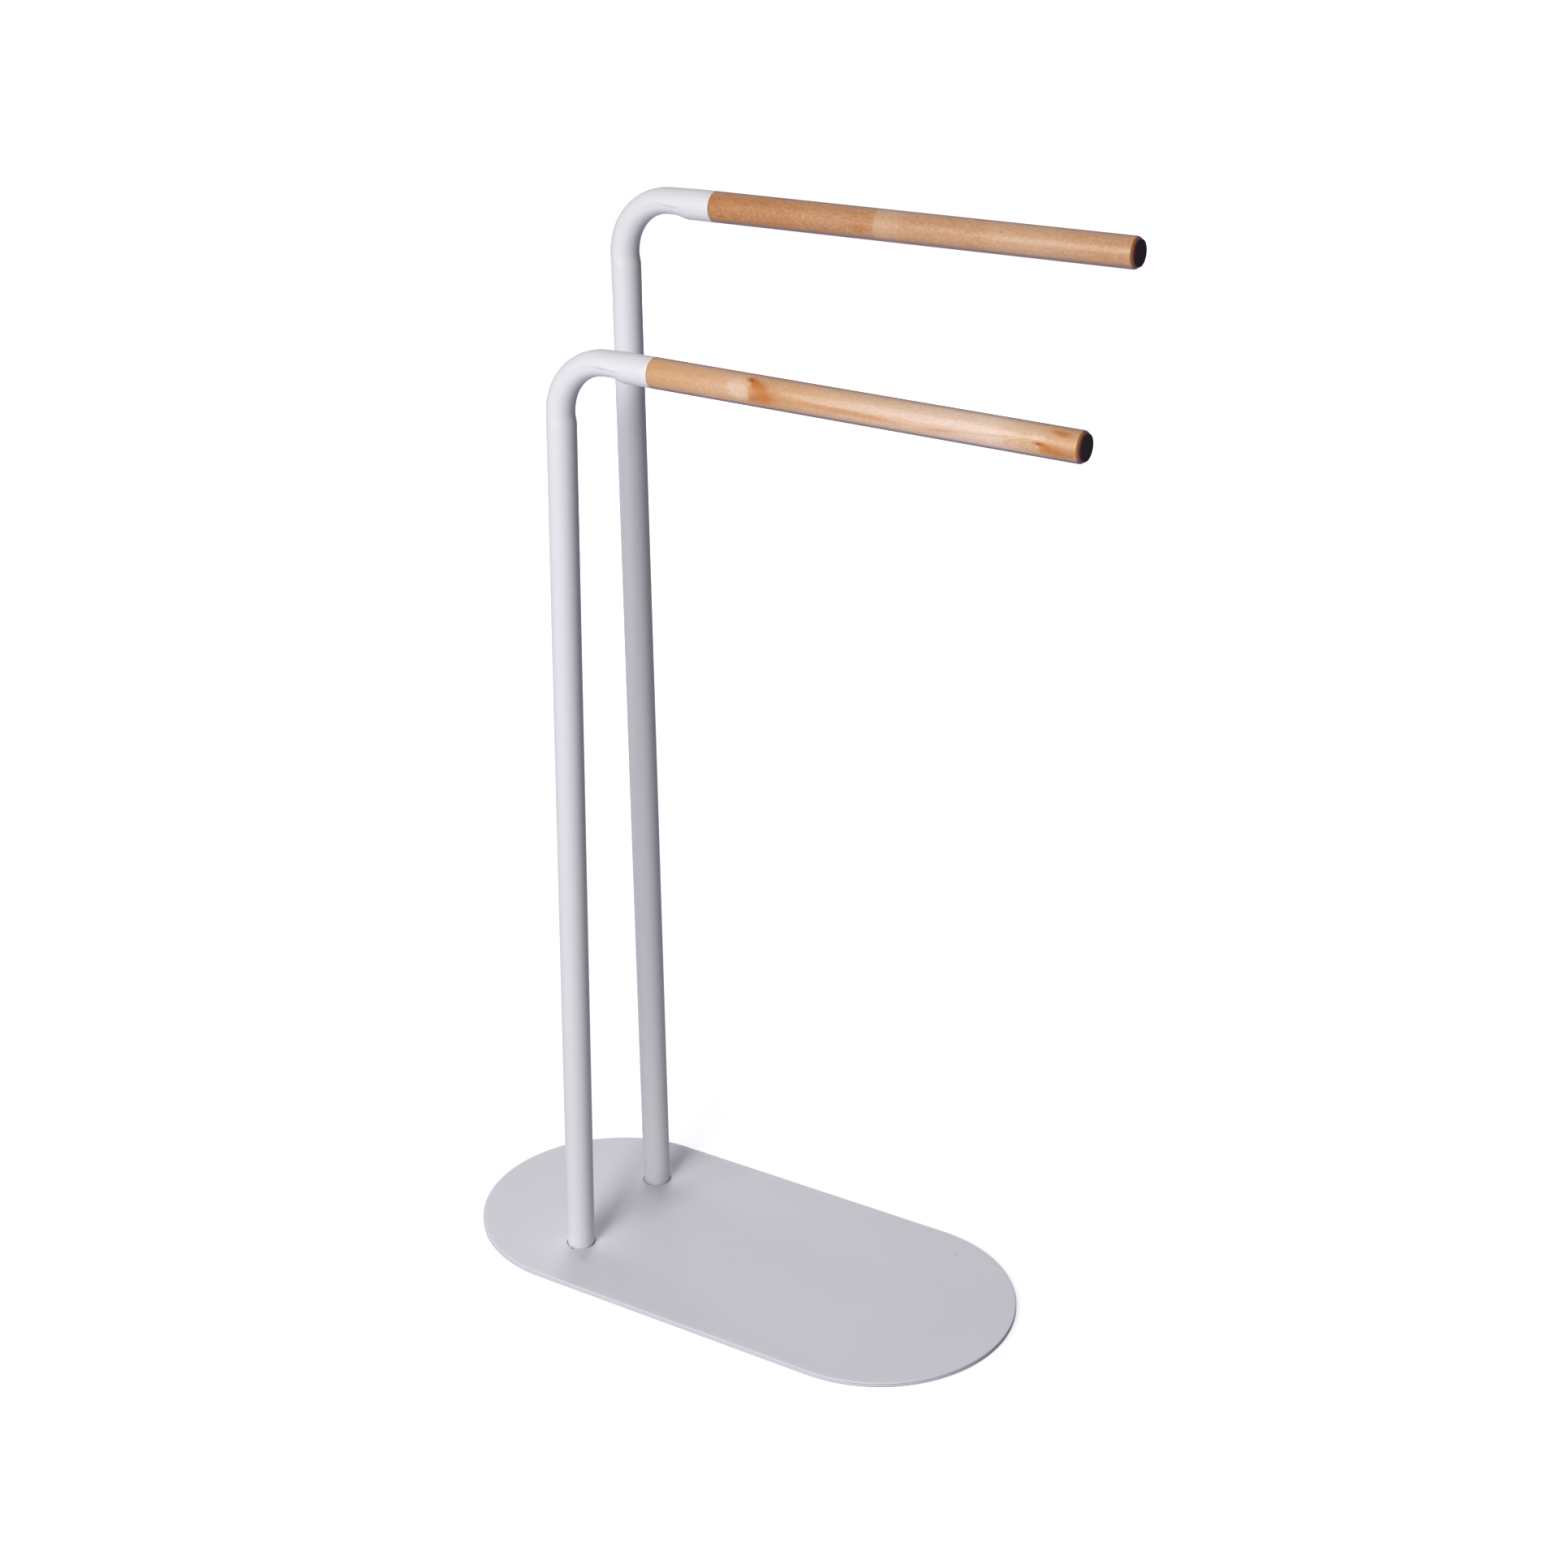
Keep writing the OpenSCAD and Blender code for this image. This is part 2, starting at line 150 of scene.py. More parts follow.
tube = {
    "radius": 0.011, "wall": 0.0012,
    "footTab": 0.0011,  # small tab that keys a foot into its seat
    "lip": 0.0003,  # where the powder coat turns over a cut end
    "lipSteps": 5, "around": 144,
    "rowSpacing": 0.0006,  # between rings at the bend
    "legRows": 12,  # rings on the straight leg and on the end of the arm
    "armRows": 4,
    "endRow": 0.0002,  # a ring this far inside each end of the bore
}
uprights = {
    "tall_upright": {"axisHeight": 0.833, "reach": 0.079, "lean": 0.0, "crease": 0.0004},
    "short_upright": {"axisHeight": 0.745, "reach": 0.08, "lean": radians(1.4), "crease": 0.0009},
}
bend = {
    "radius": 0.042, "turn": radians(88.6),
    "outerIn": 0.0007,  # how far the outer side is drawn in by the end of the arc
    "flatLeg": 0.001,  # how far the inner side is pressed flat at the leg
    "flatArm": 0.0025,  # and at the arm
    "sideIn": 0.0007,  # how far the die squeezes the inner half of the sides
    "runLeg": 0.009,  # length on the leg over which the press begins
    "holdArm": 0.004,  # length on the arm over which the full press is held
    "letGo": 0.014,  # and over which it then ends
    "runArm": 0.022,  # length on the arm after which the tube is round again
    "edgeStart": 0.12,  # where the die's edge lies, as cosines round the section
    "edgeEnd": -0.08,
    "edgeHalf": 0.2,  # half the edge's width, as a cosine
    "creaseHalf": 0.045,  # and where the crease is deepest
    "creaseFrom": -0.0115,  # the crease's start, its deepest place and its end, along the arm
    "creaseDeep": 0.011, "creaseTo": 0.0165,
}
seatDepth = 0.0012


def footPlace(node):
    # The foot's axis as a matrix: its origin on the foot's end, Z up the leg, X along the arm
    low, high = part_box(node)
    lean = uprights[node]["lean"]
    x = low[0] + tube["radius"] * cos(lean)
    y = high[1] - tube["radius"]
    z = low[2] + tube["radius"] * sin(lean)
    return Matrix.Translation((x, y, z)) @ Matrix.Rotation(lean, 4, "Y")


def armEnd(node):
    # The arm's end as a matrix: Z along the arm towards the bar's tip, X down, Y to +Y
    data = uprights[node]
    corner = Matrix.Translation((0, 0, data["axisHeight"] + seatDepth))
    arm = Matrix.Rotation(bend["turn"], 4, "Y") @ Matrix.Translation((0, 0, data["reach"]))
    return footPlace(node) @ corner @ arm


# Camera and lamps

cameraSet = {
    "target": (0.266337, -0.412342, 0.657822), "azimuth": 32.061, "elevation": 24.867, "roll": -0.628,
    "distance": 1.55571, "lens": 65.08, "sensor": 36, "farEnd": 50,
}
# level is the brightness that a white surface facing the lamp takes from it
softboxes = {
    "keySoftbox": {"azimuth": 5.5, "elevation": 29, "distance": 4.0, "size": (1.15, 1.35),
                   "level": 0.63, "color": (1.0, 0.99, 0.975), "mirrored": True},
    "leftSoftbox": {"azimuth": -12, "elevation": 19, "distance": 4.0, "size": (1.4, 1.6),
                    "level": 0.33, "color": (1.0, 0.99, 0.975), "mirrored": True},
    "rimSoftbox": {"azimuth": -128, "elevation": 40, "distance": 3.0, "size": (2.8, 2.2),
                   "level": 0.38, "color": (0.97, 0.975, 1.0), "mirrored": False},
    # behind the stand, opposite the camera, so that it lights only what the camera doesn't see
    "backSoftbox": {"azimuth": -148, "elevation": 1.5, "distance": 3.0, "size": (1.5, 1.5),
                    "level": 0.34, "color": (1.0, 0.99, 0.98), "mirrored": False},
}
lightCentre = Vector((0.0, 0.0, 0.45))


def awayVector(data):
    # Unit vector from the stand to a camera or lamp: azimuth 0 is in front, 90 at the bars' end
    azimuth, elevation = radians(data["azimuth"]), radians(data["elevation"])
    return Vector((sin(azimuth) * cos(elevation), -cos(azimuth) * cos(elevation), sin(elevation)))


def addCamera(data):
    # The camera stands at its distance from the target on the line of azimuth and elevation
    azimuth, roll = radians(data["azimuth"]), radians(data["roll"])
    back = awayVector(data)
    level = Vector((cos(azimuth), sin(azimuth), 0))
    upright = back.cross(level)
    right = level * cos(roll) + upright * sin(roll)
    up = upright * cos(roll) - level * sin(roll)
    place = Vector(data["target"]) + back * data["distance"]
    camera = addObject("photoCamera", bpy.data.cameras.new("photoCamera"))
    camera.data.lens = data["lens"]
    camera.data.sensor_width = data["sensor"]
    camera.data.clip_end = data["farEnd"]
    turned = Matrix((right, up, back)).transposed()
    camera.matrix_world = Matrix.Translation(place) @ turned.to_4x4()
    bpy.context.scene.camera = camera


def addSoftbox(name, data):
    # A lamp's energy is its level times pi squared times its distance squared
    away = awayVector(data)
    lamp = bpy.data.lights.new(name, "AREA")
    lamp.shape = "RECTANGLE"
    lamp.size, lamp.size_y = data["size"]
    lamp.color = data["color"]
    lamp.energy = data["level"] * pi ** 2 * data["distance"] ** 2
    holder = addObject(name, lamp)
    holder.location = lightCentre + away * data["distance"]
    holder.rotation_euler = away.to_track_quat("Z", "Y").to_euler()
    holder.visible_glossy = data["mirrored"]


# Shader nodes. Each is added to the tree that its sockets are in.

def setInputs(node, values):
    # Links or sets a node's inputs by label or number. A colour's three numbers get an alpha of 1.
    for label, value in values.items():
        socket = node.inputs[label]
        if isinstance(value, bpy.types.NodeSocket):
            node.id_data.links.new(value, socket)
        elif isinstance(value, tuple) and len(value) < len(socket.default_value):
            socket.default_value = (*value, 1)
        else:
            socket.default_value = value


def addNode(kind, inputs, tree=None, **settings):
    # A node none of whose inputs is a socket needs its tree given
    trees = [value.id_data for value in inputs.values() if isinstance(value, bpy.types.NodeSocket)]
    node = (tree or trees[0]).nodes.new("ShaderNode" + kind)
    for label, value in settings.items():
        setattr(node, label, value)
    setInputs(node, inputs)
    return node


def mathNode(operation, *values):
    return addNode("Math", dict(enumerate(values)), operation=operation).outputs[0]


def plus(first, second):
    return mathNode("ADD", first, second)


def minus(first, second):
    return mathNode("SUBTRACT", first, second)


def times(first, second):
    return mathNode("MULTIPLY", first, second)


def centred(value, width):
    # A noise value between 0 and 1 as a change about zero
    return times(minus(value, 0.5), width)


def vectorNode(operation, *values):
    outputs = addNode("VectorMath", dict(enumerate(values)), operation=operation).outputs
    return outputs["Value" if operation in ("LENGTH", "DISTANCE") else "Vector"]


def scaled(color, factor):
    return addNode("VectorMath", {0: color, "Scale": factor}, operation="SCALE").outputs[0]


def stretch(vector, scale):
    return vectorNode("MULTIPLY", vector, scale)


def noise(vector, scale, detail=2.0, rough=0.5):
    values = {"Vector": vector, "Scale": scale, "Detail": detail, "Roughness": rough}
    return addNode("TexNoise", values).outputs["Fac"]


def ramp(value, low, high, outLow=0.0, outHigh=1.0):
    # A smooth step from outLow at low to outHigh at high
    values = {"Value": value, "From Min": low, "From Max": high, "To Min": outLow, "To Max": outHigh}
    return addNode("MapRange", values, interpolation_type="SMOOTHSTEP").outputs["Result"]


def band(value, start, full, fade, end, share=1.0):
    # Rises from 0 at start to share at full, and falls from share at fade to 0 at end
    return times(ramp(value, start, full), ramp(value, fade, end, share, 0.0))


def mixColor(factor, first, second):
    return addNode("Mix", {0: factor, 6: first, 7: second}, data_type="RGBA").outputs[2]


def bumpNormal(height, depth):
    return addNode("Bump", {"Height": height, "Distance": depth}).outputs["Normal"]


def parts(vector):
    return addNode("SeparateXYZ", {0: vector}).outputs


# Backdrop and floor

surroundings = {
    "white": (1.0, 1.0, 1.0), "ambient": (0.8, 0.77, 1.0), "ambientLevel": 0.03,
    "glossLevel": 0.52, "glossColor": (0.86, 0.82, 1.0),
    "floorColor": (0.42, 0.415, 0.5), "floorGlow": 0.78, "floorGloss": 0.4,
    "farStart": 0.9,  # beyond farEnd the floor is plain white
    "farEnd": 1.6, "floorHalf": 15.0,
}


def seenAndMirrored(tree, glossLevel):
    # 1 for what the camera sees, straight or through glass, and glossLevel for what is mirrored
    path = addNode("LightPath", {}, tree).outputs
    seen = mathNode("MAXIMUM", path["Is Camera Ray"], path["Is Transmission Ray"])
    return seen, times(path["Is Glossy Ray"], glossLevel)


def addWorld(data):
    # White to the camera, a dimmer backdrop in reflections, and a low lilac light on the object
    world = bpy.data.worlds.new("studio")
    bpy.context.scene.world = world
    world.use_nodes = True
    tree = world.node_tree
    tree.nodes.clear()
    seen, mirrored = seenAndMirrored(tree, data["glossLevel"])
    shown = mathNode("MAXIMUM", seen, mirrored)
    ambient = addNode("Background", {"Color": data["ambient"], "Strength": data["ambientLevel"]}, tree)
    color = mixColor(seen, data["glossColor"], data["white"])
    backdrop = addNode("Background", {"Color": color, "Strength": shown})
    direct = mathNode("GREATER_THAN", shown, 0.0)
    mix = addNode("MixShader", {0: direct, 1: ambient.outputs[0], 2: backdrop.outputs[0]})
    addNode("OutputWorld", {0: mix.outputs[0]})


def addFloor(data):
    # A white floor. The camera sees its colour lifted towards white, so the shadow stays faint.
    material = bpy.data.materials.new("floorWhite")
    material.use_nodes = True
    tree = material.node_tree
    tree.nodes.clear()
    away = vectorNode("LENGTH", addNode("TexCoord", {}, tree).outputs["Object"])
    spread = ramp(away, data["farStart"], data["farEnd"], data["floorGlow"])
    seen, mirrored = seenAndMirrored(tree, data["floorGloss"])
    strength = plus(times(seen, spread), mirrored)
    color = mixColor(seen, data["glossColor"], data["white"])
    glow = addNode("Emission", {"Color": color, "Strength": strength})
    paper = addNode("BsdfDiffuse", {"Color": data["floorColor"]}, tree)
    both = addNode("AddShader", {0: paper.outputs[0], 1: glow.outputs[0]})
    addNode("OutputMaterial", {0: both.outputs[0]})
    half = data["floorHalf"]
    mesh = bpy.data.meshes.new("floor")
    mesh.from_pydata([(-half, -half, 0), (half, -half, 0), (half, half, 0), (-half, half, 0)],
                     [], [(0, 1, 2, 3)])
    mesh.materials.append(material)
    floor = addObject("floor", mesh)


bpy.context.scene.view_settings.view_transform = "Standard"
addCamera(cameraSet)
for lampName, lampData in softboxes.items():
    addSoftbox(lampName, lampData)
addWorld(surroundings)
addFloor(surroundings)
print("camera, lamps and floor set")


# Node groups and materials

# every other socket of a group is a number
socketKinds = {"Vector": ["Vector", "Map", "Place", "Size"],
               "Color": ["Color", "Dark", "Middle", "Pale"]}


def addSockets(group, way, labels):
    for label in labels:
        kind = next((kind for kind, named in socketKinds.items() if label in named), "Float")
        group.interface.new_socket(label, in_out=way, socket_type="NodeSocket" + kind)


def newGroup(name, labels, fill):
    # fill takes the group's input sockets and gives its outputs by label. The inputs' values are
    # set in the materials.
    group = bpy.data.node_groups.new(name, "ShaderNodeTree")
    addSockets(group, "INPUT", labels)
    outputs = fill(group.nodes.new("NodeGroupInput").outputs)
    addSockets(group, "OUTPUT", outputs)
    setInputs(group.nodes.new("NodeGroupOutput"), outputs)
    return group


def useGroup(group, values):
    return addNode("Group", values, node_tree=group).outputs


def newMaterial(name):
    material = bpy.data.materials.new(name)
    material.use_nodes = True
    tree = material.node_tree
    place = addNode("TexCoord", {}, tree).outputs["Object"]
    return material, tree.nodes["Principled BSDF"], place


# noises give scale, detail and roughness
paint = {
    "cloudNoise": (16.0, 3.0, 0.55), "peelNoise": (900.0, 2.0, 0.5), "gritNoise": (2600.0, 1.0, 0.5),
    "gritTone": 0.05, "gritHeight": 0.25, "glossDrift": 0.1, "peelDepth": 0.000012, "ior": 1.46,
    "speckColor": (0.25, 0.24, 0.28),
    "speckFade": 2.0,  # a speck is gone at this many radii
    "rimHighlightColor": (0.97, 0.97, 0.98),
    "rim": (-0.0006, -0.00036),  # painted highlight: the coat is painted bright round a cut end: where that starts and is full
    "seatShadeColor": (0.02, 0.018, 0.024),
    "seatReach": 0.0145,  # a seat and its nick lie within this radius of the foot's axis
    "edgeShadeColor": (0.22, 0.215, 0.25),
    "edgeShadeLines": (0.0013, 0.0032),  # depth below the top of two thin painted shade lines round the plate's edge
    "edgeShadeShare": 0.7, "lineHalf": 0.0002, "soft": 0.0001,
}
# specks: place and radius. The plate's coat shines less at a low angle.
tubeCoat = {"color": (0.765, 0.76, 0.79), "gloss": 0.38, "cloud": 0.03, "specular": 0.5}
coats = {
    "tall_upright": {"name": "tallPaint", **tubeCoat, "specks": []},
    "short_upright": {"name": "shortPaint", **tubeCoat, "specks": [(-0.0689, -0.0652, 0.7542, 0.00022)]},
    # painted light: the plate has the tubes' coat, painted lighter and bluer here to stand in for the
    # brighter light on the plate
    "base_plate": {"name": "platePaint", "color": (0.8, 0.798, 0.855), "gloss": 0.42, "cloud": 0.05,
                   "specular": 0.15, "specks": [(0.1138, 0.0848, 0.005, 0.0004)]},
}


def powderGroup(given):
    # Powder coat: a faint cloudiness and fine grit in the colour, and a fine orange-peel height
    cloud, peel, grit = [noise(given["Vector"], *paint[label])
                         for label in ("cloudNoise", "peelNoise", "gritNoise")]
    change = plus(centred(cloud, given["Cloud"]), centred(grit, paint["gritTone"]))
    return {
        "Color": scaled(given["Color"], plus(change, 1.0)),
        "Roughness": plus(given["Gloss"], centred(cloud, paint["glossDrift"])),
        "Height": plus(peel, times(grit, paint["gritHeight"]))}


def speckGroup(given):
    # A round speck: 1 within the radius of its place, then fading out
    away = vectorNode("DISTANCE", given["Vector"], given["Place"])
    gone = times(given["Radius"], paint["speckFade"])
    return {"Mask": ramp(away, given["Radius"], gone, 1.0, 0.0)}


def rimHighlightGroup(given):
    # A painted highlight: the bright rim at a tube's cut end, by the place along the arm
    return {"Mask": ramp(given["Along"], *paint["rim"])}


powderCoat = newGroup("powderCoat", ["Vector", "Color", "Cloud", "Gloss"], powderGroup)
paintSpeck = newGroup("paintSpeck", ["Vector", "Place", "Radius"], speckGroup)
cutRimHighlight = newGroup("cutRimHighlight", ["Along"], rimHighlightGroup)


def armSpace(place, upright, centre=(0.0, 0.0, 0.0)):
    # Object coordinates turned and moved so that X runs along the bar from the tube's end
    end = armEnd(upright)
    tilt = asin(end.to_3x3()[2][2])
    start = Matrix.Rotation(tilt, 3, "Y") @ end.translation + Vector(centre)
    values = {"Vector": place, "Rotation": (0, tilt, 0), "Location": tuple(-start)}
    return addNode("Mapping", values, vector_type="POINT").outputs[0]


def heightBand(height, low, high):
    # 1 between two heights, with soft ends
    soft = paint["soft"]
    return band(height, low - soft, low + soft, high - soft, high + soft)


def platePaintedShade(place, color):
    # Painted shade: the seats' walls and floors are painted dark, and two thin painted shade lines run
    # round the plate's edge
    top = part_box("base_plate")[1][2]
    height = parts(place)["Z"]
    half, reach = paint["lineHalf"], paint["seatReach"]
    sunk = heightBand(height, top - seatDepth - half, top - half)
    # painted shade in each seat's walls and floor, and in its nick
    for node in uprights:
        foot = footPlace(node).translation
        away = vectorNode("DISTANCE", stretch(place, (1, 1, 0)), (foot.x, foot.y, 0))
        near = ramp(away, reach - half, reach, 1.0, 0.0)
        color = mixColor(times(sunk, near), color, paint["seatShadeColor"])
    # painted shade lines round the plate's rounded edge
    for depth in paint["edgeShadeLines"]:
        line = heightBand(height, top - depth - half, top - depth + half)
        color = mixColor(times(line, paint["edgeShadeShare"]), color, paint["edgeShadeColor"])
    return color


def coatMaterial(node, coat):
    material, shader, place = newMaterial(coat["name"])
    layer = useGroup(powderCoat, {
        "Vector": place, "Color": coat["color"], "Cloud": coat["cloud"], "Gloss": coat["gloss"]})
    color = layer["Color"]
    for x, y, z, radius in coat["specks"]:
        speck = useGroup(paintSpeck, {"Vector": place, "Place": (x, y, z), "Radius": radius})
        color = mixColor(speck["Mask"], color, paint["speckColor"])
    if node in uprights:
        along = parts(armSpace(place, node))["X"]
        # painted highlight round the tube's cut end, where it meets the wood
        rim = useGroup(cutRimHighlight, {"Along": along})
        color = mixColor(rim["Mask"], color, paint["rimHighlightColor"])
    else:
        # painted shade in the seats and along the plate's edge
        color = platePaintedShade(place, color)
    setInputs(shader, {
        "Base Color": color, "Roughness": layer["Roughness"], "IOR": paint["ior"],
        "Specular IOR Level": coat["specular"],
        "Normal": bumpNormal(layer["Height"], paint["peelDepth"])})
    return material


bar = {
    "length": 0.3294,
    "tipLength": 0.0024,  # chamfer at the tip
    "tipHeight": 0.0018,
    "rootChamfer": 0.0004,
    "edge": 0.0009,  # how far each turned edge is sanded
    "studHole": (0.00305, 0.035),  # radius and depth
    "spigotHole": (0.00605, 0.01), "around": 128,
    "seam": radians(60),  # the surface map's seam runs along the underside, at the back
    "sideRings": 24,
}
wood = {
    # length over width of each noise's grain, then its scale, detail and roughness
    "noises": {"cloud": (3.0, 70.0, 3.0, 0.55), "streak": (20.0, 420.0, 2.0, 0.6),
               "fleck": (1.8, 620.0, 3.0, 0.65), "pore": (3.5, 1500.0, 1.0, 0.5),
               "ring": (20 / 7, 22.0, 1.0, 0.4), "point": (1.0, 1100.0, 2.0, 0.7)},
    "streakTone": 0.1, "poreRange": (0.6, 0.8), "poreShare": 0.26, "poreColor": (0.29, 0.1, 0.035),
    "pointTone": 0.28,  # tiny light and dark points over the whole surface
    "ringSpacing": 0.005, "ringWander": 0.014,
    "ringLine": (0.6, 0.93, 0.93, 1.0),  # as shares of the spacing: a slow rise and a sharp end
    "gloss": 0.4, "glossDrift": 0.12, "fleckHeight": 0.6, "poreHeight": 0.5, "grainDepth": 0.00002,
    "drift": (0.006, 0.0022, 0),  # how far noise shifts the patches, along and around the bar
    "driftGrain": (0.4, 1, 1), "driftScale": 260.0, "driftDetail": 3.0,
    "noLineOrCut": (0.0, -1.0),  # ends the rows of patches that have neither
    "cutSoft": (-0.0006, 0.0012),  # from a patch's sharp start
    "lineWidth": 0.1,  # of a patch's outline, as a share of its size
    "lineNoise": (110.0, 1.0, 0.5), "lineBroken": (0.38, 0.62),
    "knotColor": (0.28, 0.04, 0.004), "knotSoft": 0.9,
    "swirl": (10, 8),  # how much larger than a knot the swirl of rings round it is
    "swirlSoft": 0.95, "swirlShift": 0.01,
    "streakColor": (0.5, 0.14, 0.015), "streakShare": 0.6, "streakSoft": 0.95,
    # painted shade with a lilac tint on the top and underside: degrees from the top towards the front
    # where that starts, is full, begins to fade and is gone
    "greyColor": (0.165, 0.125, 0.19), "greyTop": (-60, -30, -8, 19), "greyUnder": (122, 140, 170, 220),
    "rootColor": (0.1, 0.06, 0.055),
    "root": (0.0003, 0.0006),  # the dark line at the tube ends between these places
    # metres past the tip chamfer's start: a painted highlight on the sanded edge, and the chamfer
    # darker, partly its end grain's own colour and partly painted shade
    "paintedHighlightEdge": (-0.001, -0.0005, -0.0002, 0.0002),
    "paintedHighlightTone": 0.1, "endGrainShade": (-0.0003, 0.0006), "endGrainShadeTone": 0.5, "tipShadowColor": (0.13, 0.035, 0.02),
    "tipShadowSteps": [(0.0, 0.0008, 0.65), (0.001, 0.0019, 0.1)],  # painted shadow deepening towards the cap: start, end, share of the wood left
}
woodShader = {"IOR": 1.46, "Sheen Weight": 0.1, "Sheen Roughness": 0.35, "Sheen Tint": (0.62, 0.55, 1.0)}
bars = {
    "upper_bar": {
        "upright": "tall_upright",
        "pith": (0.0, 0.034, -0.03), "ringStrength": 0.05, "cloud": 0.22, "fleck": 0.8,
        "greyShares": (0.6, 0.6),
        # the timber's colours at tone 0, 0.5 and 1
        "colors": [(0.44, 0.165, 0.035), (0.597, 0.36, 0.21), (0.69, 0.5, 0.38)],
        # tone by place along the bar: metres from the tube, tone
        "tones": [(0.0, 0.14), (0.05, 0.2), (0.08, 0.26), (0.1335, 0.3), (0.1355, 0.52), (0.15, 0.5),
                  (0.16, 0.41), (0.215, 0.43), (0.228, 0.56), (0.26, 0.54), (0.29, 0.43), (0.322, 0.38)],
        # patches: metres from the tube, degrees round from the top, half sizes in metres along and
        # around, turn in degrees, softness, tone added, and for some the tone of the outline's line
        # and a sharp start
        "patches": [
            (0.124, 96, 0.009, 0.0022, 0, 0.8, -0.14),
            (0.143, 80, 0.0095, 0.006, 0, 0.6, 0.07, 0.0, -0.009),
            # the first patch on the next line is a painted highlight band towards the tip
            (0.28, 76, 0.056, 0.0023, 0, 0.3, 0.12), (0.18, 50, 0.03, 0.0018, 2, 0.8, -0.08),
            (0.055, 62, 0.04, 0.002, 1, 0.8, 0.05), (0.258, 36, 0.0008, 0.0003, 0, 0.5, -0.6),
            (0.232, 54, 0.0007, 0.0003, 0, 0.5, -0.4), (0.167, 60, 0.0007, 0.0003, 0, 0.5, -0.4),
            (0.19, 83, 0.0006, 0.0003, 0, 0.5, -0.4),
        ],
        "knots": [], "streaks": [],
    },
    "lower_bar": {
        "upright": "short_upright",
        "pith": (0.0, 0.018, -0.026), "ringStrength": 0.06, "cloud": 0.18, "fleck": 0.45,
        "greyShares": (0.58, 0.84),
        "colors": [(0.52, 0.19, 0.04), (0.635, 0.37, 0.195), (0.795, 0.63, 0.525)],
        "tones": [(0.0, 0.42), (0.03, 0.5), (0.06, 0.58), (0.095, 0.48), (0.14, 0.6), (0.165, 0.68),
                  (0.2, 0.74), (0.23, 0.84), (0.265, 0.86), (0.3, 0.62), (0.322, 0.48)],
        "patches": [
            # the pale swirl before the first knot, with a thin arc
            (0.075, 75, 0.0085, 0.0075, 0, 0.45, 0.24),
            (0.077, 87, 0.0068, 0.0066, 0, 0.2, 0.0, 0.14),
            # the first knot's plume: its body, its slanting side, its root and its lower edge
            (0.089, 86, 0.0165, 0.0054, 0, 0.75, -0.21, 0.0, -0.006),
            (0.089, 60, 0.01, 0.0026, 38, 0.9, -0.24, 0.0, -0.005),
            (0.09, 46, 0.007, 0.0026, 24, 0.95, -0.36, 0.0, -0.0045),
            (0.1, 90, 0.016, 0.005, 0, 0.95, -0.1), (0.0862, 43, 0.004, 0.0014, 38, 0.9, -0.5),
            (0.088, 103, 0.012, 0.0024, -4, 0.8, -0.2, 0.0, -0.0052),
            (0.0838, 36, 0.003, 0.002, 0, 0.95, -0.5),
            # a painted highlight band along the bar, and the long flame under it
            (0.2, 67, 0.09, 0.0028, 0, 0.25, 0.13), (0.15, 93, 0.044, 0.0018, 1, 0.6, -0.2),
            (0.17, 93, 0.024, 0.0014, 2, 0.7, -0.1, 0.05),
            (0.228, 99, 0.012, 0.0014, -4, 0.8, -0.2), (0.256, 87, 0.026, 0.0003, -4, 0.8, -0.2),
            # the second knot: its two contours, its halo, its pale heart and the patch above it
            (0.3025, 101, 0.0245, 0.005, 0, 0.12, -0.05, 0.18),
            (0.2985, 100, 0.01, 0.004, 0, 0.2, -0.05, 0.14),
            (0.3105, 103, 0.0115, 0.0034, 4, 0.9, -0.46, 0.0, -0.009),
            (0.3006, 93, 0.0014, 0.0013, 0, 0.9, 0.22), (0.303, 87, 0.0042, 0.0012, 12, 0.9, -0.4),
            (0.3, 64, 0.0045, 0.0026, 0, 0.9, 0.18), (0.315, 36, 0.0062, 0.002, 10, 0.8, -0.5),
        ],
        # knots: metres from the tube, degrees, half sizes along and around, turn in degrees
        "knots": [(0.0836, 36.0, 0.0013, 0.0007, 20), (0.3009, 85.0, 0.0015, 0.0006, -8)],
        # fine streaks that radiate from a knot, in the same numbers
        "streaks": [(0.0842, 27, 0.0018, 0.0005, 100), (0.0812, 33, 0.0022, 0.0005, 16),
                    (0.0866, 40, 0.0036, 0.0007, 22), (0.0852, 48, 0.0036, 0.0008, 60),
                    (0.3009, 85, 0.004, 0.0012, 0)],
    },
}


def mapAround(angleFromTop):
    # The place round the surface map of an angle measured from the top towards the front
    return ((pi + radians(angleFromTop) - bar["seam"]) % (2 * pi)) * tube["radius"]


